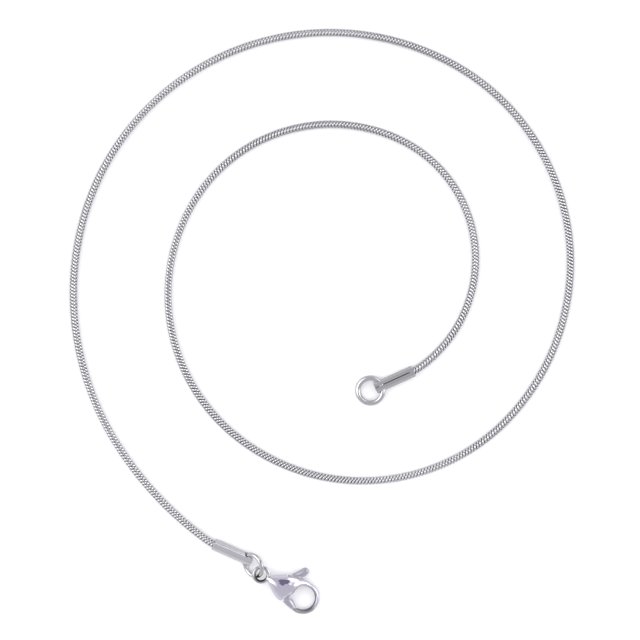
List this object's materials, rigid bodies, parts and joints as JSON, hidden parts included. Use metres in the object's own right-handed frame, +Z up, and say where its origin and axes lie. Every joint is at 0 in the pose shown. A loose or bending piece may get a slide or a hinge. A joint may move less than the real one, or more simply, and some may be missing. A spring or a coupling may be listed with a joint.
{
  "type": "snake chain necklace",
  "caption": "Fine round snake chain laid open in an inward spiral, with a crimp tube at each end, a lobster clasp on a jump ring and a closed end ring.",
  "frame": {"origin": "on the surface that the necklace lies on, below the middle of its outline", "axes": "+Z up off the surface, +Y along the laid outline's long way, from the clasp towards the far side of the outer turn, +X to the right seen from above"},
  "size_m": [0.09, 0.1044, 0.0037],
  "materials": {
    "chain_steel": "polished",
    "tube_steel": "polished",
    "ring_steel": "polished",
    "clasp_steel": "polished",
    "lever_steel": "satin"
  },
  "bodies": {
    "necklace": {"snake_chain": "chain_steel", "clasp_end_tube": "tube_steel", "ring_end_tube": "tube_steel", "jump_ring": "ring_steel", "end_ring": "ring_steel", "clasp_body": "clasp_steel", "clasp_pin": "clasp_steel"},
    "lever": {"clasp_lever": "lever_steel"}
  },
  "joints": [
    {"name": "clasp_lever_hinge", "type": "hinge", "parent": "necklace", "child": "lever", "pos_m": [-0.00559, -0.0466, 0.00147], "axis": [0.1275, -0.073, 0.9892], "range_deg": [0, 25], "stiffness_Nm_per_rad": 0.01, "springref_deg": -11.46}
  ]
}
